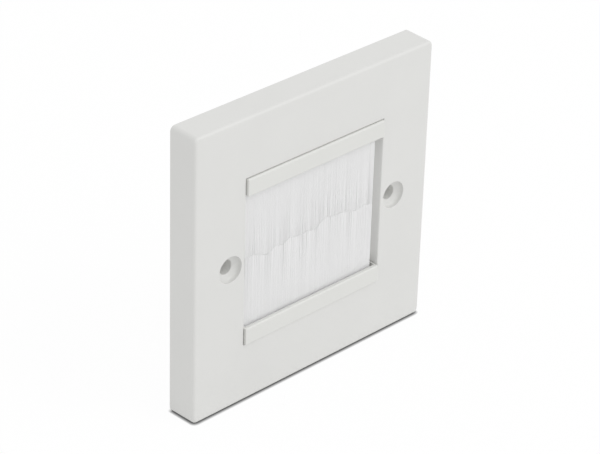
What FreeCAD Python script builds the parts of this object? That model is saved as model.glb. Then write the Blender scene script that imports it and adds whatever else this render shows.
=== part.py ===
import FreeCAD, Part
import math
import os

from FreeCAD import Vector

# Brush wall plate, single gang, in millimetres.
# +X is to the right, +Z is up and +Y points into the wall.
# The origin is the middle of the plate on the wall plane, midway between the fixing holes.

# Face plate
plate_width = 86.0
plate_height = 86.0
plate_depth = 9.3
plate_corner_radius = 1.5
side_draft = 0.15
front_edge_radius = 0.9
front_wall = 2.4
skirt_wall = 2.2
hollow_corner_radius = 1.2
rim_edge_radius = 0.15

# Aperture for the brush insert, and the collar behind it
aperture_width = 50.2
aperture_height = 50.4
aperture_edge_radius = 0.3
collar_wall = 1.4
collar_corner_radius = 1.0
ledge_reach = 1.3
ledge_thickness = 1.2

# Fixing holes, with a recess for the screw head
hole_to_aperture = 5.05
screw_hole_radius = 2.15
recess_radius = 3.9
recess_wall_depth = 1.2
recess_floor_depth = 2.1
recess_floor_fillet = 1.2
recess_rim_radius = 0.2
boss_wall = 1.3
boss_setback = 0.4

# Shallow ribs on the back of the front wall
rib_width = 1.2
rib_height = 1.4
rib_spacing = 32.0
gusset_width = 1.2
gusset_reach = 3.0

# Brush bar: one moulding, used upright above and turned over below
bar_height = 4.9
bar_proud = 1.5
bar_front_lip = 2.1
bar_rear_lip = 1.4
bar_web = 1.1
bar_edge_radius = 0.8
bar_end_radius = 0.25
bar_end_wall = 0.6
bar_gap = 0.2

# Snap tongues that hold each bar behind the collar
tongue_width = 8.0
tongue_thickness = 1.0
tongue_spacing = 28.0
tongue_side_play = 0.3
tongue_inset = 0.1
hook_reach = 0.9
hook_land = 0.3
hook_length = 1.3
hook_play = 0.1
ledge_play = 0.1

# Strip brush: a folded channel that grips the bristles round a core wire.
# It is cut shorter than its slot and pushed to the left end.
strip_shortfall = 1.0
channel_width = 2.6
channel_height = 3.3
channel_wall = 0.4
channel_base_radius = 0.7
channel_play = 0.1
wire_radius = 0.45
wire_play = 0.02

# Bristles, modelled as a row of tufts that taper to their tips
bristle_play = 0.03
tuft_pitch = 1.3
tuft_notch = 0.06
tuft_bulge = 0.3
tuft_flat_share = 0.5
tuft_shoulder_share = 0.94
tuft_tip_share = 0.5
tuft_tip_length = 1.1
tip_gap = 0.16

# Line where the upper and lower tips meet: a slow wave and a quick one, along the width
seam_height = 0.2
seam_wave = 0.9
seam_wavelength = 34.0
seam_crest_x = 6.0
seam_ripple = 0.45
seam_ripple_length = 5.3

# Sizes and places that follow from those above
face_y = -plate_depth
hollow_depth = plate_depth - front_wall
fixing_centres = aperture_width + 2 * hole_to_aperture
bar_length = aperture_width - 2 * bar_gap
bar_depth = bar_front_lip + channel_width + 2 * channel_play + bar_rear_lip - bar_proud
collar_depth = bar_depth + ledge_play + ledge_thickness
slot_length = bar_length - 2 * bar_end_wall
channel_length = slot_length - 2 * channel_play - strip_shortfall
channel_top = bar_web + channel_play
channel_mouth = channel_top + channel_height
insert_top = aperture_height / 2 - bar_gap
bristle_depth = channel_width - 2 * channel_wall - 2 * bristle_play
bristle_y = face_y - bar_proud + bar_front_lip + channel_play + channel_width / 2
overlap = 0.5


def block(x_low, x_high, y_low, y_high, z_low, z_high):
    """Box between two values along each axis."""
    size = Vector(x_high - x_low, y_high - y_low, z_high - z_low)
    return Part.makeBox(size.x, size.y, size.z, Vector(x_low, y_low, z_low))


def centred_block(width, height, y_low, y_high):
    """Box centred on the plate, between two depths."""
    return block(-width / 2, width / 2, y_low, y_high, -height / 2, height / 2)


def extruded_profile(points, x_low, length):
    """Prism along X from an outline of depth and height pairs."""
    corners = [Vector(x_low, y, z) for y, z in points]
    outline = Part.makePolygon(corners + corners[:1])
    return Part.Face(outline).extrude(Vector(length, 0, 0))


def edges_within(shape, box):
    """Edges whose ends all lie inside a box given as low and high corners."""
    low, high = box
    tolerance = 0.01
    found = []
    for edge in shape.Edges:
        bound = edge.BoundBox
        inside_x = bound.XMin > low.x - tolerance and bound.XMax < high.x + tolerance
        inside_y = bound.YMin > low.y - tolerance and bound.YMax < high.y + tolerance
        inside_z = bound.ZMin > low.z - tolerance and bound.ZMax < high.z + tolerance
        if inside_x and inside_y and inside_z:
            found.append(edge)
    return found


def edges_at_depth(shape, y, width, height):
    """Edges that lie at one depth, inside a centred rectangle."""
    low = Vector(-width / 2, y, -height / 2)
    high = Vector(width / 2, y, height / 2)
    return edges_within(shape, (low, high))


def tapered_block(width, height, inset, y_front):
    """Block from the wall plane to a front depth, where each side is drawn in by an inset."""
    half_x = width / 2
    half_z = height / 2
    front = (half_x - inset, half_z - inset)
    return Part.makeWedge(
        -front[0], y_front, -front[1], -half_z, -half_x,
        front[0], 0, front[1], half_z, half_x,
    )


def corner_edges(shape, y_front):
    """The four edges that run from the wall plane to the front at the corners."""
    return [edge for edge in shape.Edges if abs(edge.BoundBox.YLength + y_front) < 0.01]


def plate_blank():
    """Outer form: slightly smaller at the front, with round corners and front edge."""
    blank = tapered_block(plate_width, plate_height, side_draft, face_y)
    blank = blank.makeFillet(plate_corner_radius, corner_edges(blank, face_y))
    front_edges = edges_at_depth(blank, face_y, plate_width, plate_height)
    blank = blank.makeFillet(front_edge_radius, front_edges)
    rim_edges = edges_at_depth(blank, 0, plate_width, plate_height)
    return blank.makeFillet(rim_edge_radius, rim_edges)


def plate_hollow():
    """Space behind the front wall, inside the skirt."""
    inset = side_draft * hollow_depth / plate_depth
    width = plate_width - 2 * skirt_wall
    height = plate_height - 2 * skirt_wall
    hollow = tapered_block(width, height, inset, -hollow_depth)
    return hollow.makeFillet(hollow_corner_radius, corner_edges(hollow, -hollow_depth))


def collar():
    """Wall round the aperture, behind the front wall."""
    width = aperture_width + 2 * collar_wall
    height = aperture_height + 2 * collar_wall
    y_low = -hollow_depth - overlap
    wall = centred_block(width, height, y_low, face_y + collar_depth)
    length = face_y + collar_depth - y_low
    corners = [edge for edge in wall.Edges if abs(edge.BoundBox.YLength - length) < 0.01]
    return wall.makeFillet(collar_corner_radius, corners)


def boss(side):
    """Round boss that carries one fixing screw."""
    start = Vector(side * fixing_centres / 2, -hollow_depth - overlap, 0)
    length = hollow_depth + overlap - boss_setback
    return Part.makeCylinder(recess_radius + boss_wall, length, start, Vector(0, 1, 0))


def screw_hole_tool(side):
    """Screw hole with a round recess, a sloping floor and a softened rim."""
    rim = recess_radius + recess_rim_radius
    rim_middle = recess_rim_radius * (1 - math.sqrt(0.5))
    points = [
        (0, -overlap),
        (rim, -overlap),
        (rim, 0),
        (recess_radius, recess_rim_radius),
        (recess_radius, recess_wall_depth),
        (screw_hole_radius, recess_floor_depth),
        (screw_hole_radius, plate_depth + overlap),
        (0, plate_depth + overlap),
    ]
    corners = [Vector(radius, face_y + depth, 0) for radius, depth in points]
    edges = []
    for index, corner in enumerate(corners):
        following = corners[(index + 1) % len(corners)]
        if index == 2:
            middle = Vector(recess_radius + rim_middle, face_y + rim_middle, 0)
            edges.append(Part.Arc(corner, middle, following).toShape())
        else:
            edges.append(Part.LineSegment(corner, following).toShape())
    profile = Part.Face(Part.Wire(edges))
    tool = profile.revolve(Vector(0, 0, 0), Vector(0, 1, 0), 360)
    floor_y = face_y + recess_wall_depth
    floor_edges = edges_at_depth(tool, floor_y, 2 * rim, 2 * rim)
    tool = tool.makeFillet(recess_floor_fillet, floor_edges)
    tool.translate(Vector(side * fixing_centres / 2, 0, 0))
    return tool


def ribs():
    """Shallow ribs that run from the collar to the skirt on all four sides."""
    y_low = -hollow_depth - overlap
    y_high = -hollow_depth + rib_height
    shapes = []
    for side in (-1, 1):
        for place in (-rib_spacing / 2, rib_spacing / 2):
            near = aperture_height / 2 + collar_wall - overlap
            far = plate_height / 2 - skirt_wall + overlap
            low, high = sorted((side * near, side * far))
            shapes.append(block(place - rib_width / 2, place + rib_width / 2, y_low, y_high, low, high))
            near = aperture_width / 2 + collar_wall - overlap
            far = plate_width / 2 - skirt_wall + overlap
            low, high = sorted((side * near, side * far))
            shapes.append(block(low, high, y_low, y_high, place - rib_width / 2, place + rib_width / 2))
    return shapes


def boss_gusset(side):
    """Web from a screw boss towards the skirt."""
    near = fixing_centres / 2
    far = near + recess_radius + boss_wall + gusset_reach
    low, high = sorted((side * near, side * far))
    y_low = -hollow_depth - overlap
    y_high = face_y + collar_depth
    return block(low, high, y_low, y_high, -gusset_width / 2, gusset_width / 2)


def ledge(side):
    """Stop behind one bar, cut away where its tongues pass."""
    wall = aperture_height / 2
    low, high = sorted((side * (wall - ledge_reach), side * (wall + collar_wall / 2)))
    y_low = face_y + bar_depth + ledge_play
    y_high = face_y + collar_depth
    half_width = aperture_width / 2 + collar_wall / 2
    stop = block(-half_width, half_width, y_low, y_high, low, high)
    for place in (-tongue_spacing / 2, tongue_spacing / 2):
        reach = tongue_width / 2 + tongue_side_play
        low, high = sorted((side * (wall - ledge_reach - overlap), side * wall))
        window = block(place - reach, place + reach, y_low - overlap, y_high + overlap, low, high)
        stop = stop.cut(window)
    return stop


def make_face_plate():
    """Moulded plate with its hollow back, collar, bosses, ribs and ledges."""
    plate = plate_blank().cut(plate_hollow())
    added = [collar(), boss(-1), boss(1), boss_gusset(-1), boss_gusset(1)] + ribs()
    plate = plate.fuse(added)
    opening = centred_block(aperture_width, aperture_height, face_y - overlap, overlap)
    plate = plate.cut([opening, screw_hole_tool(-1), screw_hole_tool(1)])
    plate = plate.fuse([ledge(-1), ledge(1)]).removeSplitter()
    rim = edges_at_depth(plate, face_y, aperture_width, aperture_height)
    return plate.makeFillet(aperture_edge_radius, rim)


def bar_body():
    """Proud bar with a rounded front and crisper ends, before its slot and tongues."""
    half = bar_length / 2
    body = block(-half, half, -bar_proud, bar_depth, -bar_height, 0)
    long_edges = []
    for height in (-bar_height, 0):
        low = Vector(-half, -bar_proud, height)
        high = Vector(half, -bar_proud, height)
        long_edges += edges_within(body, (low, high))
    body = body.makeFillet(bar_edge_radius, long_edges)
    end_edges = []
    for end in (-half, half):
        low = Vector(end, -bar_proud, -bar_height)
        high = Vector(end, bar_edge_radius - bar_proud, 0)
        end_edges += edges_within(body, (low, high))
    return body.makeFillet(bar_end_radius, end_edges)


def bar_slot():
    """Slot for the strip brush, closed at both ends of the bar."""
    half = slot_length / 2
    y_low = bar_front_lip - bar_proud
    y_high = y_low + channel_width + 2 * channel_play
    return block(-half, half, y_low, y_high, -bar_height - overlap, -bar_web)


def snap_tongue(place):
    """Springy tongue with a hook that catches behind the collar."""
    root_y = bar_depth - bar_rear_lip / 2
    hook_y = collar_depth + hook_play
    end_y = hook_y + hook_length
    top = -tongue_inset
    foot = top - tongue_thickness
    outline = [
        (root_y, top),
        (hook_y, top),
        (hook_y, hook_reach),
        (hook_y + hook_land, hook_reach),
        (end_y, top - tongue_thickness / 2),
        (end_y, foot),
        (root_y, foot),
    ]
    return extruded_profile(outline, place - tongue_width / 2, tongue_width)


def brush_bar():
    """Brush bar in its own frame: outer face at height zero, plate face at depth zero."""
    bar = bar_body().cut(bar_slot())
    tongues = [snap_tongue(place) for place in (-tongue_spacing / 2, tongue_spacing / 2)]
    return bar.fuse(tongues).removeSplitter()


def channel_outline(offset):
    """Outline of the channel section, moved inwards by an offset, open side down."""
    half = channel_width / 2 - offset
    radius = channel_base_radius - offset / 2
    top = -channel_top - offset
    corner = radius * (1 - math.sqrt(0.5))
    mouth = -channel_mouth - (overlap if offset else 0)
    left = [Vector(0, -half, mouth), Vector(0, -half, top - radius)]
    left_middle = Vector(0, -half + corner, top - corner)
    left_end = Vector(0, -half + radius, top)
    right_start = Vector(0, half - radius, top)
    right_middle = Vector(0, half - corner, top - corner)
    right = [Vector(0, half, top - radius), Vector(0, half, mouth)]
    edges = [
        Part.LineSegment(left[0], left[1]).toShape(),
        Part.Arc(left[1], left_middle, left_end).toShape(),
        Part.LineSegment(left_end, right_start).toShape(),
        Part.Arc(right_start, right_middle, right[0]).toShape(),
        Part.LineSegment(right[0], right[1]).toShape(),
        Part.LineSegment(right[1], left[0]).toShape(),
    ]
    return Part.Wire(edges)


def clamp_channel():
    """Folded metal channel that grips the bristles."""
    centre_y = bar_front_lip + channel_play + channel_width / 2 - bar_proud
    outer = Part.Face(channel_outline(0)).extrude(Vector(channel_length, 0, 0))
    inner = Part.Face(channel_outline(channel_wall)).extrude(Vector(channel_length, 0, 0))
    channel = outer.cut(inner)
    channel.translate(Vector(-channel_length / 2, centre_y, 0))
    return channel


def core_wire_place():
    """Depth and height of the core wire, in the frame of the bar."""
    depth = bar_front_lip + channel_play + channel_width / 2 - bar_proud
    height = -channel_top - channel_wall - 2 * wire_radius
    return depth, height


def core_wire():
    """Wire that the bristles are folded round."""
    depth, height = core_wire_place()
    start = Vector(-channel_length / 2, depth, height)
    return Part.makeCylinder(wire_radius, channel_length, start, Vector(1, 0, 0))


def place_upper(shape):
    """Move a piece from the frame of the bar to the top of the aperture."""
    placed = shape.copy()
    placed.translate(Vector(0, face_y, insert_top))
    return placed


def place_lower(shape):
    """Turn a piece over and move it to the foot of the aperture."""
    placed = shape.copy()
    placed.rotate(Vector(0, 0, 0), Vector(0, 1, 0), 180)
    placed.translate(Vector(0, face_y, -insert_top))
    return placed


def seam(x):
    """Height at which the upper and lower tips meet."""
    slow = seam_wave * math.cos(2 * math.pi * (x - seam_crest_x) / seam_wavelength)
    quick = seam_ripple * math.sin(2 * math.pi * x / seam_ripple_length)
    return seam_height + slow + quick


def tuft_section(x, pitch, share, z):
    """Corners of a level slice of a tuft, at a share of its full size: eight, fuller in the middle."""
    edge = share * (pitch - tuft_notch) / 2
    flat = edge * tuft_flat_share
    crown = share * bristle_depth / 2
    side = crown - share * tuft_bulge
    quarter = [(edge, side), (flat, crown), (-flat, crown), (-edge, side)]
    outline = quarter + [(-across, -along) for across, along in quarter]
    return [Vector(x + across, bristle_y + along, z) for across, along in outline]


def flat_face(corners):
    """Flat face with straight edges between its corners."""
    return Part.Face(Part.makePolygon(corners + corners[:1]))


def tuft(x, pitch, root_z, tip_z):
    """One tuft: full at its root, a little slimmer further on, and drawn in at its tip."""
    direction = 1 if tip_z > root_z else -1
    slices = [
        tuft_section(x, pitch, 1, root_z),
        tuft_section(x, pitch, tuft_shoulder_share, tip_z - direction * tuft_tip_length),
        tuft_section(x, pitch, tuft_tip_share, tip_z),
    ]
    faces = [flat_face(slices[0]), flat_face(slices[-1])]
    for near, far in zip(slices, slices[1:]):
        for index, corner in enumerate(near):
            following = (index + 1) % len(near)
            faces.append(flat_face([corner, near[following], far[following], far[index]]))
    solid = Part.makeSolid(Part.makeShell(faces))
    if solid.Volume < 0:
        solid.reverse()
    return solid


def gripped_block(side):
    """Part of the bristles inside the channel, folded round the core wire."""
    half = channel_length / 2
    start = insert_top - channel_mouth
    end = insert_top - channel_top - channel_wall - bristle_play
    low, high = sorted((side * start, side * end))
    y_low = bristle_y - bristle_depth / 2
    gripped = block(-half, half, y_low, y_low + bristle_depth, low, high)
    height = core_wire_place()[1]
    wire_z = side * (insert_top + height)
    bore_start = Vector(-half - overlap, bristle_y, wire_z)
    bore_length = channel_length + 2 * overlap
    bore = Part.makeCylinder(wire_radius + wire_play, bore_length, bore_start, Vector(1, 0, 0))
    top_edges = []
    for edge in gripped.Edges:
        bound = edge.BoundBox
        if bound.XLength > half and abs(bound.ZMin - side * end) < 0.01:
            top_edges.append(edge)
    gripped = gripped.makeFillet(channel_base_radius - channel_wall / 2, top_edges)
    return gripped.cut(bore)


def bristles(side):
    """Row of tufts with their gripped ends, above (side 1) or below (side -1)."""
    count = max(2, round(channel_length / tuft_pitch))
    pitch = channel_length / count
    root_z = side * (insert_top - channel_mouth)
    tufts = []
    for index in range(count):
        x = -channel_length / 2 + (index + 0.5) * pitch
        tip_z = seam(x) + side * tip_gap / 2
        tufts.append(tuft(x, pitch, root_z, tip_z))
    return gripped_block(side).fuse(tufts)


def make_parts():
    """Every piece of the wall plate, by name."""
    bar = brush_bar()
    channel = clamp_channel()
    wire = core_wire()
    strips = {
        "upper_clamp_channel": place_upper(channel),
        "lower_clamp_channel": place_lower(channel),
        "upper_core_wire": place_upper(wire),
        "lower_core_wire": place_lower(wire),
        "upper_bristles": bristles(1),
        "lower_bristles": bristles(-1),
    }
    for piece in strips.values():
        piece.translate(Vector(-strip_shortfall / 2, 0, 0))
    bodies = {
        "face_plate": make_face_plate(),
        "upper_brush_bar": place_upper(bar),
        "lower_brush_bar": place_lower(bar),
    }
    return {**bodies, **strips}


os.makedirs("parts", exist_ok=True)
for name, shape in make_parts().items():
    shape.exportStep("parts/" + name + ".step")
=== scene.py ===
"""Brush wall plate: moulded plastic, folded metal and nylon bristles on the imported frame."""

import math

import bmesh
import bpy
import numpy as np
from bpy.props import FloatProperty, FloatVectorProperty, IntProperty, PointerProperty
from mathutils import Matrix, Vector


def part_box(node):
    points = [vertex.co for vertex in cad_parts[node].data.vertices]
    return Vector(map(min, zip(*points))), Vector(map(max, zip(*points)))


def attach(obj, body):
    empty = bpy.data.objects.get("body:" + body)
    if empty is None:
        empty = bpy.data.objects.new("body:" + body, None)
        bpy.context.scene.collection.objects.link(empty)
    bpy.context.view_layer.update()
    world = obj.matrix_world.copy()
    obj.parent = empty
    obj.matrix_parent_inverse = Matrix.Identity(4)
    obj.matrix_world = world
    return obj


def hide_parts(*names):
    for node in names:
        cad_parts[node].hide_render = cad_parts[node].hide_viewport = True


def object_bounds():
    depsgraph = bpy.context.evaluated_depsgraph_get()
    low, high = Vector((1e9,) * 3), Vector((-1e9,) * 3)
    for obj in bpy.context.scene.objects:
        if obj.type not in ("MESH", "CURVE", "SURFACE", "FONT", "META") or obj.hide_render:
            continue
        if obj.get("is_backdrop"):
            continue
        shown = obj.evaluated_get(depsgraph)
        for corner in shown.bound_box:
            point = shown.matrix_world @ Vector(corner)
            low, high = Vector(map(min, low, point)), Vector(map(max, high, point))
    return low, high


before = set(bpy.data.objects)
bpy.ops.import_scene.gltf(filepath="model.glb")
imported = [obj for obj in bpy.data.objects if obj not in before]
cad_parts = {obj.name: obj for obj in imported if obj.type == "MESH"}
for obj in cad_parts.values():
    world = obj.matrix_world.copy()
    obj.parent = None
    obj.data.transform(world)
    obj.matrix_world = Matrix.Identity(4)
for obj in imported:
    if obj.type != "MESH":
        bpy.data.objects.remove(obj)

bl_info = {
    "name": "Brush wall plate",
    "version": (1, 0, 0),
    "blender": (4, 5, 0),
    "location": "3D View > Sidebar > Wall plate",
    "description": "Finishes, bristles and a studio for a brush wall plate",
    "category": "Object",
}

MM = 0.001

# Where the tips of the two rows meet: distance from the middle and height, in millimetres
MEETING_LINE = (
    (-24.0, 0.3),
    (-21.5, 0.6),
    (-18.5, -0.5),
    (-16.0, -1.3),
    (-13.0, 0.0),
    (-10.5, -0.4),
    (-8.0, 0.8),
    (-5.0, 0.0),
    (-1.8, 0.3),
    (1.2, -0.4),
    (5.0, 1.8),
    (8.0, 1.4),
    (13.0, 0.8),
    (17.0, -0.4),
    (19.5, 0.3),
    (24.0, -0.8),
)

# Small unevenness of that line: length and height of each wave in millimetres, and its start
FINE_WAVES = ((0.9, 0.08, 0.0), (0.53, 0.06, 1.3), (0.37, 0.05, 2.1))

# The part of a noise's range that holds most of its values
NOISE_LOW = 0.3
NOISE_HIGH = 0.7

WHITE = (1.0, 1.0, 1.0, 1.0)


class PlasticFinish(bpy.types.PropertyGroup):
    """Colour and surface of the moulded pieces."""

    plate_colour: FloatVectorProperty(
        name="Plate colour",
        description="Plastic of the face plate",
        subtype="COLOR",
        default=(0.735, 0.735, 0.718),
        min=0.0,
        max=1.0,
    )
    bar_colour: FloatVectorProperty(
        name="Bar colour",
        description="Plastic of the brush bars",
        subtype="COLOR",
        default=(0.738, 0.74, 0.715),
        min=0.0,
        max=1.0,
    )
    bar_rise: FloatProperty(
        name="Bar rise",
        description="How far the brush bars stand proud of the plate's face",
        unit="LENGTH",
        default=0.0007,
        min=0.0001,
        max=0.0014,
        precision=5,
    )
    bar_edge: FloatProperty(
        name="Bar edge radius",
        description="Rounding of the brush bars' front edges",
        unit="LENGTH",
        default=0.00023,
        min=0.00005,
        max=0.00024,
        precision=5,
    )
    bar_upper_edge: FloatProperty(
        name="Bar upper edge radius",
        description="Rounding of each brush bar's long front edge that faces up",
        unit="LENGTH",
        default=0.00065,
        min=0.0003,
        max=0.001,
        precision=5,
    )
    bar_swell: FloatProperty(
        name="Bar swell",
        description="How much each bar's front is widened towards the plate",
        unit="LENGTH",
        default=0.0001,
        min=0.0,
        max=0.00015,
        precision=5,
    )
    roughness: FloatProperty(
        name="Roughness",
        description="How satin the mouldings are",
        subtype="FACTOR",
        default=0.42,
        min=0.0,
        max=1.0,
    )
    grain_size: FloatProperty(
        name="Grain size",
        description="Width of the fine grain left by the mould",
        unit="LENGTH",
        default=0.00014,
        min=0.00005,
        max=0.002,
        precision=5,
    )
    grain_depth: FloatProperty(
        name="Grain depth",
        description="Height of the fine grain left by the mould",
        unit="LENGTH",
        default=0.000004,
        min=0.0,
        max=0.0001,
        precision=6,
    )


class MetalFinish(bpy.types.PropertyGroup):
    """Colour and surface of the channels and wires."""

    channel_colour: FloatVectorProperty(
        name="Channel colour",
        description="Rolled sheet of the clamp channels",
        subtype="COLOR",
        default=(0.72, 0.73, 0.74),
        min=0.0,
        max=1.0,
    )
    wire_colour: FloatVectorProperty(
        name="Wire colour",
        description="Drawn wire inside the bristles",
        subtype="COLOR",
        default=(0.6, 0.6, 0.6),
        min=0.0,
        max=1.0,
    )
    roughness: FloatProperty(
        name="Roughness",
        description="How dull the metal is",
        subtype="FACTOR",
        default=0.34,
        min=0.0,
        max=1.0,
    )


class BristleSettings(bpy.types.PropertyGroup):
    """Sizes and colour of the bristles."""

    diameter: FloatProperty(
        name="Filament diameter",
        description="Thickness of one filament",
        unit="LENGTH",
        default=0.00018,
        min=0.0001,
        max=0.0006,
        precision=5,
    )
    spacing: FloatProperty(
        name="Spacing along the row",
        description="Distance between neighbouring filaments",
        unit="LENGTH",
        default=0.000188,
        min=0.00012,
        max=0.001,
        precision=6,
    )
    ranks: IntProperty(
        name="Ranks",
        description="Filaments from the front of a row to its back",
        default=10,
        min=2,
        max=14,
    )
    lean: FloatProperty(
        name="Lean",
        description="How far neighbouring filaments lean together at their tips",
        unit="LENGTH",
        default=0.00006,
        min=0.0,
        max=0.002,
        precision=5,
    )
    scatter: FloatProperty(
        name="Tip scatter",
        description="How unevenly the tips are cut",
        unit="LENGTH",
        default=0.000015,
        min=0.0,
        max=0.002,
        precision=6,
    )
    colour: FloatVectorProperty(
        name="Bristle colour",
        description="Nylon of the filaments",
        subtype="COLOR",
        default=(0.912, 0.912, 0.912),
        min=0.0,
        max=1.0,
    )
    seed: IntProperty(
        name="Seed",
        description="Number that the uneven growth starts from",
        default=11,
        min=0,
    )


class StudioSettings(bpy.types.PropertyGroup):
    """Light, floor and camera."""

    sky_strength: FloatProperty(
        name="Sky strength",
        description="Even light from all round",
        default=0.82,
        min=0.0,
        max=4.0,
    )
    lamp_power: FloatProperty(
        name="Soft lamp power",
        description="Large soft lamp in front, above and to the right",
        unit="POWER",
        default=13.2,
        min=0.0,
        max=100.0,
    )
    contact_width: FloatProperty(
        name="Contact shadow width",
        description="How far the dark line round the foot of the plate reaches",
        unit="LENGTH",
        default=0.001,
        min=0.0001,
        max=0.05,
        precision=5,
    )
    camera_distance: FloatProperty(
        name="Camera distance",
        description="From the camera to the point it looks at",
        unit="LENGTH",
        default=0.6891,
        min=0.2,
        max=5.0,
    )
    camera_side: FloatProperty(
        name="Camera side angle",
        description="How far to the left of the plate's front the camera stands",
        subtype="ANGLE",
        default=math.radians(44.75),
    )
    camera_height: FloatProperty(
        name="Camera height angle",
        description="How far above the level the camera stands",
        subtype="ANGLE",
        default=math.radians(30.14),
    )
    camera_roll: FloatProperty(
        name="Camera roll",
        description="Turn of the camera about its own line of sight",
        subtype="ANGLE",
        default=math.radians(1.748),
    )


# Shader nodes


def empty_tree(owner):
    """Node tree of a material or a world, emptied."""
    owner.use_nodes = True
    owner.node_tree.nodes.clear()
    return owner.node_tree


def start_material(name):
    """New material with a shader and its output, as (material, tree, shader)."""
    material = bpy.data.materials.new(name)
    tree = empty_tree(material)
    output = tree.nodes.new("ShaderNodeOutputMaterial")
    shader = tree.nodes.new("ShaderNodeBsdfPrincipled")
    tree.links.new(shader.outputs["BSDF"], output.inputs["Surface"])
    return material, tree, shader


def object_coordinates(tree, stretch=(1.0, 1.0, 1.0)):
    """Socket with the place on the piece in metres, each axis scaled."""
    place = tree.nodes.new("ShaderNodeTexCoord")
    mapping = tree.nodes.new("ShaderNodeMapping")
    mapping.inputs["Scale"].default_value = stretch
    tree.links.new(place.outputs["Object"], mapping.inputs["Vector"])
    return mapping.outputs["Vector"]


def noise_value(tree, vector, feature_size, detail=2.0, roughness=0.5):
    """Socket with a noise of about the given feature size in metres."""
    node = tree.nodes.new("ShaderNodeTexNoise")
    node.inputs["Scale"].default_value = 1.0 / feature_size
    node.inputs["Detail"].default_value = detail
    node.inputs["Roughness"].default_value = roughness
    tree.links.new(vector, node.inputs["Vector"])
    return node.outputs["Fac"]


def spread_value(tree, value, low, high):
    """Socket with the middle of a noise spread between two numbers."""
    node = tree.nodes.new("ShaderNodeMapRange")
    node.inputs["From Min"].default_value = NOISE_LOW
    node.inputs["From Max"].default_value = NOISE_HIGH
    node.inputs["To Min"].default_value = low
    node.inputs["To Max"].default_value = high
    tree.links.new(value, node.inputs["Value"])
    return node.outputs["Result"]


def shaded_colour(tree, value, colour, darker, lighter):
    """Socket with a colour whose brightness follows a noise."""
    ramp = tree.nodes.new("ShaderNodeValToRGB")
    first, last = ramp.color_ramp.elements
    first.position = NOISE_LOW
    last.position = NOISE_HIGH
    first.color = (*[part * darker for part in colour], 1.0)
    last.color = (*[min(1.0, part * lighter) for part in colour], 1.0)
    tree.links.new(value, ramp.inputs["Fac"])
    return ramp.outputs["Color"]


def bumped_normal(tree, height, distance, strength=1.0, under=None):
    """Socket with a normal that follows a height, over another normal where one is given."""
    node = tree.nodes.new("ShaderNodeBump")
    node.inputs["Distance"].default_value = distance
    node.inputs["Strength"].default_value = strength
    tree.links.new(height, node.inputs["Height"])
    if under is not None:
        tree.links.new(under, node.inputs["Normal"])
    return node.outputs["Normal"]


# Materials: sizes and depths are in metres, shades are shares of the colour

CLOUD_SIZE = 0.018
GLOSS_SIZE = 0.0035
RIPPLE_SIZE = 0.009
RIPPLE_DEPTH = 0.00001
RIPPLE_STRENGTH = 0.5
PLASTIC_SHADES = (0.99, 1.01)
PLASTIC_GLOSS_SPREAD = 0.04
PLASTIC_IOR = 1.5

LINE_STRETCH = (0.02, 1.0, 1.0)
LINE_DEPTH = 0.000006
SHEET_LINE_WIDTH = 0.0002
WIRE_LINE_WIDTH = 0.0001
PATCH_SIZE = 0.004
METAL_SHADES = (0.93, 1.04)
METAL_SMOOTHER = 0.08
METAL_ROUGHER = 0.1

SHEEN_STRETCH = (1.0, 1.0, 0.12)
SHEEN_SIZE = 0.0004
NYLON_SHADES = (0.975, 1.02)
NYLON_ROUGHNESS = (0.42, 0.58)
NYLON_IOR = 1.53


def moulded_plastic(name, colour, finish):
    """Satin moulded plastic: faint clouding and ripples, uneven gloss and a fine grain."""
    material, tree, shader = start_material(name)
    place = object_coordinates(tree)
    cloud = noise_value(tree, place, CLOUD_SIZE, detail=3.0)
    gloss = noise_value(tree, place, GLOSS_SIZE, detail=2.0)
    grain = noise_value(tree, place, finish.grain_size, detail=1.0)
    ripples = noise_value(tree, place, RIPPLE_SIZE, detail=1.0)
    shade = shaded_colour(tree, cloud, colour, *PLASTIC_SHADES)
    tree.links.new(shade, shader.inputs["Base Color"])
    low = finish.roughness - PLASTIC_GLOSS_SPREAD
    high = finish.roughness + PLASTIC_GLOSS_SPREAD
    tree.links.new(spread_value(tree, gloss, low, high), shader.inputs["Roughness"])
    rippled = bumped_normal(tree, ripples, RIPPLE_DEPTH, strength=RIPPLE_STRENGTH)
    surface = bumped_normal(tree, grain, finish.grain_depth, under=rippled)
    tree.links.new(surface, shader.inputs["Normal"])
    shader.inputs["IOR"].default_value = PLASTIC_IOR
    return material


def drawn_metal(name, colour, finish, line_width):
    """Metal rolled or drawn along X, with fine lines along its length."""
    material, tree, shader = start_material(name)
    lines = object_coordinates(tree, LINE_STRETCH)
    streaks = noise_value(tree, lines, line_width, detail=3.0, roughness=0.6)
    patches = noise_value(tree, object_coordinates(tree), PATCH_SIZE, detail=2.0)
    shade = shaded_colour(tree, patches, colour, *METAL_SHADES)
    tree.links.new(shade, shader.inputs["Base Color"])
    low = finish.roughness - METAL_SMOOTHER
    high = finish.roughness + METAL_ROUGHER
    tree.links.new(spread_value(tree, streaks, low, high), shader.inputs["Roughness"])
    tree.links.new(bumped_normal(tree, streaks, LINE_DEPTH), shader.inputs["Normal"])
    shader.inputs["Metallic"].default_value = 1.0
    return material


def white_nylon(name, settings):
    """Nylon filaments: each of its own shade, plus painted shade that lightens the upper row and
    darkens the lower row; a little milky, with a soft shine.
    """
    material, tree, shader = start_material(name)
    strand_tone_and_painted_shade = tree.nodes.new("ShaderNodeAttribute")
    strand_tone_and_painted_shade.attribute_name = "strand_tone_and_painted_shade"
    shade = shaded_colour(tree, strand_tone_and_painted_shade.outputs["Fac"], settings.colour, *NYLON_SHADES)
    tree.links.new(shade, shader.inputs["Base Color"])
    along = object_coordinates(tree, SHEEN_STRETCH)
    gloss = noise_value(tree, along, SHEEN_SIZE, detail=1.0)
    tree.links.new(spread_value(tree, gloss, *NYLON_ROUGHNESS), shader.inputs["Roughness"])
    shader.inputs["IOR"].default_value = NYLON_IOR
    return material


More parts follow.
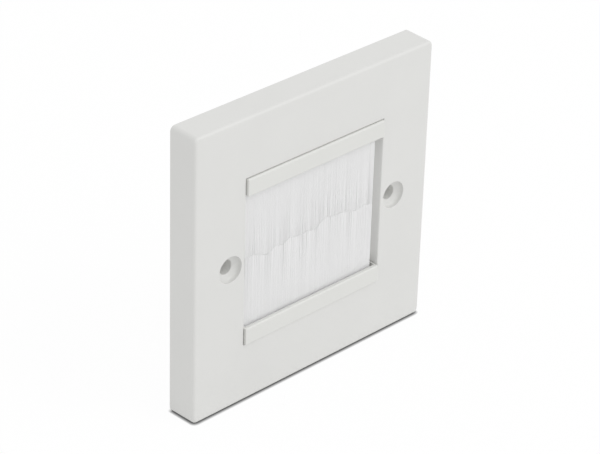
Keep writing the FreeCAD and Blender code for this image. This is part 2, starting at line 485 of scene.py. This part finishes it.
def dress(names, material):
    """Give the named nodes of the frame a material."""
    for name in names:
        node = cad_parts[name]
        node.data.materials.clear()
        node.data.materials.append(material)


class WALLPLATE_OT_finish_plate(bpy.types.Operator):
    """Give the face plate its moulded plastic"""

    bl_idname = "wallplate.finish_plate"
    bl_label = "Finish the face plate"

    def execute(self, context):
        finish = context.scene.wall_plate_plastic
        dress(["face_plate"], moulded_plastic("plate_plastic", finish.plate_colour, finish))
        return {"FINISHED"}


# Brush bars

MERGE_DISTANCE = 0.001 * MM
FLAT_ANGLE = math.radians(0.5)
SMOOTH_ANGLE = math.radians(30)
BAR_EDGE_SEGMENTS = 5
UPPER_EDGE_CUTS = 6

# Height of the band at a bar's outer edge that holds the points of its corner arcs
BAR_CORNER = 0.3 * MM

# Least part of a normal that points one way for its face to count as facing that way
FACING_FRONT = 0.99
FACING_UP = 0.9


def select_faces(piece, wanted):
    """In edit mode, select just the faces whose normal and middle pass a test."""
    shape = bmesh.from_edit_mesh(piece.data)
    for face in shape.faces:
        face.select_set(wanted(face.normal, face.calc_center_median()))
    shape.select_flush_mode()
    bmesh.update_edit_mesh(piece.data)


def select_points(piece, wanted):
    """In edit mode, select just the points whose place passes a test."""
    shape = bmesh.from_edit_mesh(piece.data)
    for point in shape.verts:
        point.select_set(wanted(point.co))
    shape.select_flush_mode()
    bmesh.update_edit_mesh(piece.data)


def merged_copy(name, node):
    """Copy of a CAD node with its doubled points merged, left in edit mode."""
    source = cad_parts[node]
    bpy.ops.object.select_all(action="DESELECT")
    source.select_set(True)
    bpy.context.view_layer.objects.active = source
    bpy.ops.object.duplicate(linked=False)
    piece = bpy.context.object
    piece.name = name
    piece.data.name = name
    bpy.ops.mesh.customdata_custom_splitnormals_clear()
    bpy.ops.object.mode_set(mode="EDIT")
    bpy.ops.mesh.select_mode(type="FACE")
    bpy.ops.mesh.select_all(action="SELECT")
    bpy.ops.mesh.remove_doubles(threshold=MERGE_DISTANCE)
    return piece


def cut_off(place, outward):
    """In edit mode, take off what lies beyond a plane and close the cut.

    The threshold is left at Blender's own value: a tighter one can leave open edges.
    """
    bpy.ops.mesh.bisect(plane_co=place, plane_no=outward, use_fill=True, clear_outer=True)


def round_upper_edge(front, top, radius):
    """In edit mode, cut the long front edge that faces up along a curve."""
    middle = Vector((0.0, front + radius, top - radius))
    for cut in range(1, UPPER_EDGE_CUTS + 1):
        angle = math.pi / 2 * cut / (UPPER_EDGE_CUTS + 1)
        outward = Vector((0.0, -math.cos(angle), math.sin(angle)))
        bpy.ops.mesh.select_all(action="SELECT")
        bpy.ops.mesh.quads_convert_to_tris()
        cut_off(middle + outward * radius, outward)


def mould_bar(name, node, finish, plastic):
    """Copy of a brush bar, cut off level with the plate and given its low rounded front."""
    plate_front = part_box("face_plate")[0].y
    bar = merged_copy(name, node)
    cut_off((0.0, plate_front, 0.0), (0.0, -1.0, 0.0))
    bpy.ops.mesh.select_all(action="SELECT")
    bpy.ops.mesh.dissolve_limited(angle_limit=FLAT_ANGLE)
    heights = [
        point.co.z
        for point in bmesh.from_edit_mesh(bar.data).verts
        if abs(point.co.y - plate_front) < MERGE_DISTANCE
    ]
    outer = max(heights, key=abs)
    side = math.copysign(1.0, outer)
    top = max(heights) + max(side, 0.0) * finish.bar_swell
    bpy.ops.mesh.select_mode(type="VERT")
    select_points(
        bar,
        lambda place: abs(place.y - plate_front) < MERGE_DISTANCE
        and abs(place.z - outer) < BAR_CORNER,
    )
    bpy.ops.transform.translate(value=(0.0, 0.0, side * finish.bar_swell))
    bpy.ops.mesh.select_mode(type="FACE")
    select_faces(
        bar,
        lambda normal, middle: normal.y < -FACING_FRONT
        and abs(middle.y - plate_front) < MERGE_DISTANCE,
    )
    step = {"value": (0.0, -finish.bar_rise, 0.0)}
    bpy.ops.mesh.extrude_region_move(TRANSFORM_OT_translate=step)
    bpy.ops.mesh.bevel(
        offset=finish.bar_edge,
        offset_type="OFFSET",
        segments=BAR_EDGE_SEGMENTS,
        affect="EDGES",
    )
    round_upper_edge(plate_front - finish.bar_rise, top, finish.bar_upper_edge)
    bpy.ops.mesh.select_all(action="SELECT")
    bpy.ops.mesh.dissolve_limited(angle_limit=FLAT_ANGLE)
    bpy.ops.object.mode_set(mode="OBJECT")
    bpy.ops.object.shade_smooth_by_angle(angle=SMOOTH_ANGLE)
    even = bar.modifiers.new("even_flats", "WEIGHTED_NORMAL")
    even.keep_sharp = True
    bpy.ops.object.modifier_apply(modifier=even.name)
    bar.data.materials.clear()
    bar.data.materials.append(plastic)
    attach(bar, "root")
    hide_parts(node)


class WALLPLATE_OT_make_bars(bpy.types.Operator):
    """Mould the low fronts of the two brush bars"""

    bl_idname = "wallplate.make_bars"
    bl_label = "Make the brush bars"

    def execute(self, context):
        finish = context.scene.wall_plate_plastic
        plastic = moulded_plastic("bar_plastic", finish.bar_colour, finish)
        mould_bar("upper_bar_moulding", "upper_brush_bar", finish, plastic)
        mould_bar("lower_bar_moulding", "lower_brush_bar", finish, plastic)
        return {"FINISHED"}


class WALLPLATE_OT_finish_clamps(bpy.types.Operator):
    """Give the clamp channels and their core wires their metal"""

    bl_idname = "wallplate.finish_clamps"
    bl_label = "Finish the channels and wires"

    def execute(self, context):
        finish = context.scene.wall_plate_metal
        sheet = drawn_metal("channel_metal", finish.channel_colour, finish, SHEET_LINE_WIDTH)
        wire = drawn_metal("wire_steel", finish.wire_colour, finish, WIRE_LINE_WIDTH)
        dress(["upper_clamp_channel", "lower_clamp_channel"], sheet)
        dress(["upper_core_wire", "lower_core_wire"], wire)
        return {"FINISHED"}


# Bristles

FILAMENT_SIDES = 5
FILAMENT_LEVELS = (0.3, 0.55, 0.8, 0.994, 1.0)
FILAMENT_SMOOTH_ANGLE = math.radians(80)
TIP_NARROWING = 0.8
TIP_GAP = 0.002 * MM
# Painted shade: the share by which the upper row's strands are painted lighter and the lower row's
# darker, to even out the upper row lying in the upper bar's shade and the lower row rendering
# brighter
PAINTED_ROW_SHADE = 0.09
ROOT_DEPTH_IN_CHANNEL = 1.2 * MM

# Waves that neighbouring filaments lean in: wavelength, and share of the set lean
LEAN_WAVES = ((5.0 * MM, 1.0), (2.2 * MM, 0.4))
SINES_IN_WAVE = 4
WAVELENGTH_SHARES = (0.6, 1.6)

# Stray of one tip along and across the row, as shares of the diameter, and fanning out in depth
STRAY_ALONG = 0.1
STRAY_ACROSS = 0.15
FAN_OUT = 0.05

# Power that a filament's bend follows: its least value and how much may be added
BOW_LEAST = 1.4
BOW_SPREAD = 0.8


def model_filament(diameter):
    """One closed filament of height 1 along Z: a bar extruded on, with a drawn-in tip."""
    bpy.ops.object.select_all(action="DESELECT")
    first = FILAMENT_LEVELS[0]
    bpy.ops.mesh.primitive_cylinder_add(
        vertices=FILAMENT_SIDES,
        radius=diameter / 2,
        depth=first,
        location=(0.0, 0.0, first / 2),
    )
    filament = bpy.context.object
    bpy.ops.object.transform_apply(location=True, rotation=True, scale=True)
    bpy.ops.object.mode_set(mode="EDIT")
    bpy.ops.mesh.select_mode(type="FACE")
    select_faces(filament, lambda normal, middle: normal.z > FACING_UP)
    for low, high in zip(FILAMENT_LEVELS, FILAMENT_LEVELS[1:]):
        step = {"value": (0.0, 0.0, high - low)}
        bpy.ops.mesh.extrude_region_move(TRANSFORM_OT_translate=step)
    bpy.ops.transform.resize(value=(TIP_NARROWING, TIP_NARROWING, 1.0))
    bpy.ops.object.mode_set(mode="OBJECT")
    bpy.ops.object.shade_smooth_by_angle(angle=FILAMENT_SMOOTH_ANGLE)
    # Per-point value for each strand's random tone and the rows' painted shade
    filament.data.attributes.new("strand_tone_and_painted_shade", "FLOAT", "POINT")
    return filament


def meeting_height(x):
    """Height of the line where the two rows meet, in metres."""
    places, heights = zip(*MEETING_LINE)
    height = np.interp(x / MM, places, heights)
    for length, amplitude, start in FINE_WAVES:
        height += amplitude * np.sin(2 * math.pi * x / (length * MM) + start)
    return height * MM


def smooth_waves(rng, x, wavelength, amplitude):
    """Smooth uneven wave along the row, as a sum of sines of nearby wavelengths."""
    total = np.zeros_like(x)
    for _ in range(SINES_IN_WAVE):
        length = wavelength * rng.uniform(*WAVELENGTH_SHARES)
        total += np.sin(2 * math.pi * x / length + rng.uniform(0, 2 * math.pi))
    return amplitude * total / math.sqrt(SINES_IN_WAVE)


def filament_layout(rng, settings, low, high):
    """Places of the roots in the channel, in ranks set half a space apart."""
    radius = settings.diameter / 2
    depths = np.linspace(low.y + radius, high.y - radius, settings.ranks)
    roots = []
    for rank, y in enumerate(depths):
        start = low.x + radius + (rank % 2) * settings.spacing / 2
        for x in np.arange(start, high.x - radius, settings.spacing):
            roots.append((x, y))
    roots = np.array(roots)
    gap = settings.spacing - settings.diameter
    roots += rng.uniform(-gap, gap, roots.shape) / 2
    return roots


def grow_row(name, node, channel, direction, settings, material):
    """One row of bristles from its channel to the line where the rows meet."""
    rng = np.random.default_rng(settings.seed + (0 if direction > 0 else 1))
    low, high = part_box(node)
    middle_y = (low.y + high.y) / 2
    channel_low, channel_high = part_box(channel)
    if direction > 0:
        root_z = channel_low.z + ROOT_DEPTH_IN_CHANNEL
    else:
        root_z = channel_high.z - ROOT_DEPTH_IN_CHANNEL
    roots = filament_layout(rng, settings, low, high)
    x, y = roots[:, 0], roots[:, 1]
    count = len(roots)
    lean = np.zeros_like(x)
    for wavelength, share in LEAN_WAVES:
        lean += smooth_waves(rng, x, wavelength, settings.lean * share)
    stray = rng.normal(0.0, 1.0, count) * settings.diameter * STRAY_ALONG
    shift_x = lean + stray
    edge = settings.diameter
    shift_x = np.clip(x + shift_x, low.x + edge, high.x - edge) - x
    shift_y = (y - middle_y) * FAN_OUT
    shift_y += rng.normal(0.0, 1.0, count) * settings.diameter * STRAY_ACROSS
    gap = TIP_GAP + np.abs(rng.normal(0.0, 1.0, count)) * settings.scatter
    tip_z = meeting_height(x + shift_x) + direction * gap
    bow = BOW_LEAST + rng.uniform(0.0, BOW_SPREAD, count)
    # Each strand's random tone, plus painted shade that lightens the upper row and darkens the
    # lower row
    strand_tone_and_painted_shade = rng.uniform(NOISE_LOW, NOISE_HIGH, count) + direction * PAINTED_ROW_SHADE

    filament = model_filament(settings.diameter)
    pattern = np.empty(len(filament.data.vertices) * 3)
    filament.data.vertices.foreach_get("co", pattern)
    pattern = pattern.reshape(-1, 3)
    along = pattern[:, 2]
    copies = []
    for index in range(count):
        mesh = filament.data.copy()
        bend = along ** bow[index]
        place = np.empty_like(pattern)
        place[:, 0] = x[index] + pattern[:, 0] + shift_x[index] * bend
        place[:, 1] = y[index] - direction * pattern[:, 1] + shift_y[index] * bend
        place[:, 2] = root_z + (tip_z[index] - root_z) * along
        mesh.vertices.foreach_set("co", place.ravel())
        shade = np.full(len(pattern), strand_tone_and_painted_shade[index])
        mesh.attributes["strand_tone_and_painted_shade"].data.foreach_set("value", shade)
        copy = bpy.data.objects.new("filament_copy", mesh)
        bpy.context.scene.collection.objects.link(copy)
        copies.append(copy)
    bpy.data.objects.remove(filament)
    bpy.ops.object.select_all(action="DESELECT")
    for copy in copies:
        copy.select_set(True)
    bpy.context.view_layer.objects.active = copies[0]
    bpy.ops.object.join()
    row = bpy.context.object
    row.name = name
    row.data.name = name
    row.data.materials.append(material)
    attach(row, "root")
    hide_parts(node)


class WALLPLATE_OT_make_bristles(bpy.types.Operator):
    """Grow the upper and the lower row of nylon bristles, filament by filament"""

    bl_idname = "wallplate.make_bristles"
    bl_label = "Make the bristles"

    def execute(self, context):
        settings = context.scene.wall_plate_bristles
        nylon = white_nylon("bristle_nylon", settings)
        grow_row("upper_bristle_row", "upper_bristles", "upper_clamp_channel", 1, settings, nylon)
        grow_row("lower_bristle_row", "lower_bristles", "lower_clamp_channel", -1, settings, nylon)
        return {"FINISHED"}


# Studio

CAMERA_TARGET = Vector((-5.345 * MM, -9.3 * MM, 3.465 * MM))
CAMERA_LENS = 156.41
SENSOR_WIDTH = 36.0
CLIP_START = 0.01
LAMP_PLACE = (0.86, -1.58, 1.58)
LAMP_SIZE = 1.2
FLOOR_SIZE = 6.0
SEEN_GLOW_SHARE = 0.95
FLOOR_GLOW_SHARE = 0.27
FLOOR_BOUNCE = 0.82
CONTACT_SAMPLES = 16
CONTACT_POWER = 1.8


def calculated(tree, operation, *values):
    """Socket with the result of a calculation on sockets and plain numbers."""
    node = tree.nodes.new("ShaderNodeMath")
    node.operation = operation
    for place, value in zip(node.inputs, values):
        if isinstance(value, float):
            place.default_value = value
        else:
            tree.links.new(value, place)
    return node.outputs["Value"]


def mixed_shaders(tree, share, first, second):
    """Socket with two shaders, mixed so that the second has the given share."""
    node = tree.nodes.new("ShaderNodeMixShader")
    tree.links.new(share, node.inputs["Fac"])
    tree.links.new(first, node.inputs[1])
    tree.links.new(second, node.inputs[2])
    return node.outputs["Shader"]


def white_background(tree, strength):
    """Socket with a white background of the given strength."""
    node = tree.nodes.new("ShaderNodeBackground")
    node.inputs["Strength"].default_value = strength
    node.inputs["Color"].default_value = WHITE
    return node.outputs["Background"]


def seen_share(tree):
    """Socket that is 1 for what is seen directly, in a reflection or through a clear piece."""
    path = tree.nodes.new("ShaderNodeLightPath")
    total = path.outputs["Is Camera Ray"]
    for name in ("Is Glossy Ray", "Is Transmission Ray"):
        total = calculated(tree, "MAXIMUM", total, path.outputs[name])
    return total


def white_sky(strength):
    """World that lights evenly and looks white."""
    world = bpy.data.worlds.new("studio_sky")
    tree = empty_tree(world)
    output = tree.nodes.new("ShaderNodeOutputWorld")
    light = white_background(tree, strength)
    seen = white_background(tree, 1.0)
    sky = mixed_shaders(tree, seen_share(tree), light, seen)
    tree.links.new(sky, output.inputs["Surface"])
    bpy.context.scene.world = world


def white_floor(contact_width):
    """Floor that looks white, with a light shadow and a dark line where something stands on it."""
    material = bpy.data.materials.new("studio_floor")
    tree = empty_tree(material)
    output = tree.nodes.new("ShaderNodeOutputMaterial")
    seen = seen_share(tree)
    tint = calculated(tree, "MULTIPLY_ADD", seen, 1.0 - FLOOR_BOUNCE, FLOOR_BOUNCE)
    paint = tree.nodes.new("ShaderNodeBsdfDiffuse")
    tree.links.new(tint, paint.inputs["Color"])
    near = tree.nodes.new("ShaderNodeAmbientOcclusion")
    near.samples = CONTACT_SAMPLES
    near.inputs["Distance"].default_value = contact_width
    glow = tree.nodes.new("ShaderNodeEmission")
    strength = calculated(tree, "POWER", near.outputs["AO"], CONTACT_POWER)
    tree.links.new(strength, glow.inputs["Strength"])
    spread = SEEN_GLOW_SHARE - FLOOR_GLOW_SHARE
    share = calculated(tree, "MULTIPLY_ADD", seen, spread, FLOOR_GLOW_SHARE)
    floor = mixed_shaders(tree, share, paint.outputs["BSDF"], glow.outputs["Emission"])
    tree.links.new(floor, output.inputs["Surface"])
    return material


def soft_lamp(name, place, size, power):
    """Large square lamp that looks at the middle of the plate."""
    data = bpy.data.lights.new(name, "AREA")
    data.shape = "SQUARE"
    data.size = size
    data.energy = power
    lamp = bpy.data.objects.new(name, data)
    lamp.location = place
    lamp.rotation_euler = (-Vector(place)).to_track_quat("-Z", "Y").to_euler()
    bpy.context.scene.collection.objects.link(lamp)


def aim_camera(studio):
    """Camera at the angle of the photograph."""
    side, height = studio.camera_side, studio.camera_height
    back = Vector((
        -math.sin(side) * math.cos(height),
        -math.cos(side) * math.cos(height),
        math.sin(height),
    ))
    right = (-back).cross(Vector((0.0, 0.0, 1.0))).normalized()
    up = right.cross(-back)
    turn = Matrix((right, up, back)).transposed().to_4x4()
    turn = turn @ Matrix.Rotation(studio.camera_roll, 4, "Z")
    data = bpy.data.cameras.new("studio_camera")
    data.lens = CAMERA_LENS
    data.sensor_width = SENSOR_WIDTH
    data.clip_start = CLIP_START
    camera = bpy.data.objects.new("studio_camera", data)
    place = CAMERA_TARGET + back * studio.camera_distance
    camera.matrix_world = Matrix.Translation(place) @ turn
    bpy.context.scene.collection.objects.link(camera)
    bpy.context.scene.camera = camera


class WALLPLATE_OT_build_studio(bpy.types.Operator):
    """Set up the floor, the light and the camera"""

    bl_idname = "wallplate.build_studio"
    bl_label = "Build the studio"

    def execute(self, context):
        studio = context.scene.wall_plate_studio
        bpy.ops.object.select_all(action="DESELECT")
        floor_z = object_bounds()[0][2]
        bpy.ops.mesh.primitive_plane_add(size=FLOOR_SIZE, location=(0.0, 0.0, floor_z))
        floor = context.object
        floor.name = "studio_floor"
        floor.data.materials.append(white_floor(studio.contact_width))
        floor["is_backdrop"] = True
        white_sky(studio.sky_strength)
        soft_lamp("soft_lamp", LAMP_PLACE, LAMP_SIZE, studio.lamp_power)
        aim_camera(studio)
        context.scene.view_settings.view_transform = "Standard"
        return {"FINISHED"}


class WALLPLATE_PT_sidebar(bpy.types.Panel):
    """Settings and steps of the brush wall plate"""

    bl_idname = "WALLPLATE_PT_sidebar"
    bl_label = "Brush wall plate"
    bl_space_type = "VIEW_3D"
    bl_region_type = "UI"
    bl_category = "Wall plate"

    def draw(self, context):
        scene = context.scene
        steps = (
            (scene.wall_plate_plastic, ("wallplate.finish_plate", "wallplate.make_bars")),
            (scene.wall_plate_metal, ("wallplate.finish_clamps",)),
            (scene.wall_plate_bristles, ("wallplate.make_bristles",)),
            (scene.wall_plate_studio, ("wallplate.build_studio",)),
        )
        for settings, operators in steps:
            box = self.layout.box()
            for name in settings.__annotations__:
                box.prop(settings, name)
            for operator in operators:
                box.operator(operator)


CLASSES = (
    PlasticFinish,
    MetalFinish,
    BristleSettings,
    StudioSettings,
    WALLPLATE_OT_finish_plate,
    WALLPLATE_OT_make_bars,
    WALLPLATE_OT_finish_clamps,
    WALLPLATE_OT_make_bristles,
    WALLPLATE_OT_build_studio,
    WALLPLATE_PT_sidebar,
)


def register():
    """Add the classes and the scene's settings."""
    for entry in CLASSES:
        bpy.utils.register_class(entry)
    bpy.types.Scene.wall_plate_plastic = PointerProperty(type=PlasticFinish)
    bpy.types.Scene.wall_plate_metal = PointerProperty(type=MetalFinish)
    bpy.types.Scene.wall_plate_bristles = PointerProperty(type=BristleSettings)
    bpy.types.Scene.wall_plate_studio = PointerProperty(type=StudioSettings)


def unregister():
    """Take the classes and the scene's settings away again."""
    del bpy.types.Scene.wall_plate_studio
    del bpy.types.Scene.wall_plate_bristles
    del bpy.types.Scene.wall_plate_metal
    del bpy.types.Scene.wall_plate_plastic
    for entry in reversed(CLASSES):
        bpy.utils.unregister_class(entry)


def main():
    """Dress the frame, grow the bristles and build the studio."""
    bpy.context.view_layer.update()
    register()
    bpy.ops.wallplate.finish_plate()
    bpy.ops.wallplate.make_bars()
    bpy.ops.wallplate.finish_clamps()
    bpy.ops.wallplate.make_bristles()
    bpy.ops.wallplate.build_studio()


if __name__ == "__main__":
    main()
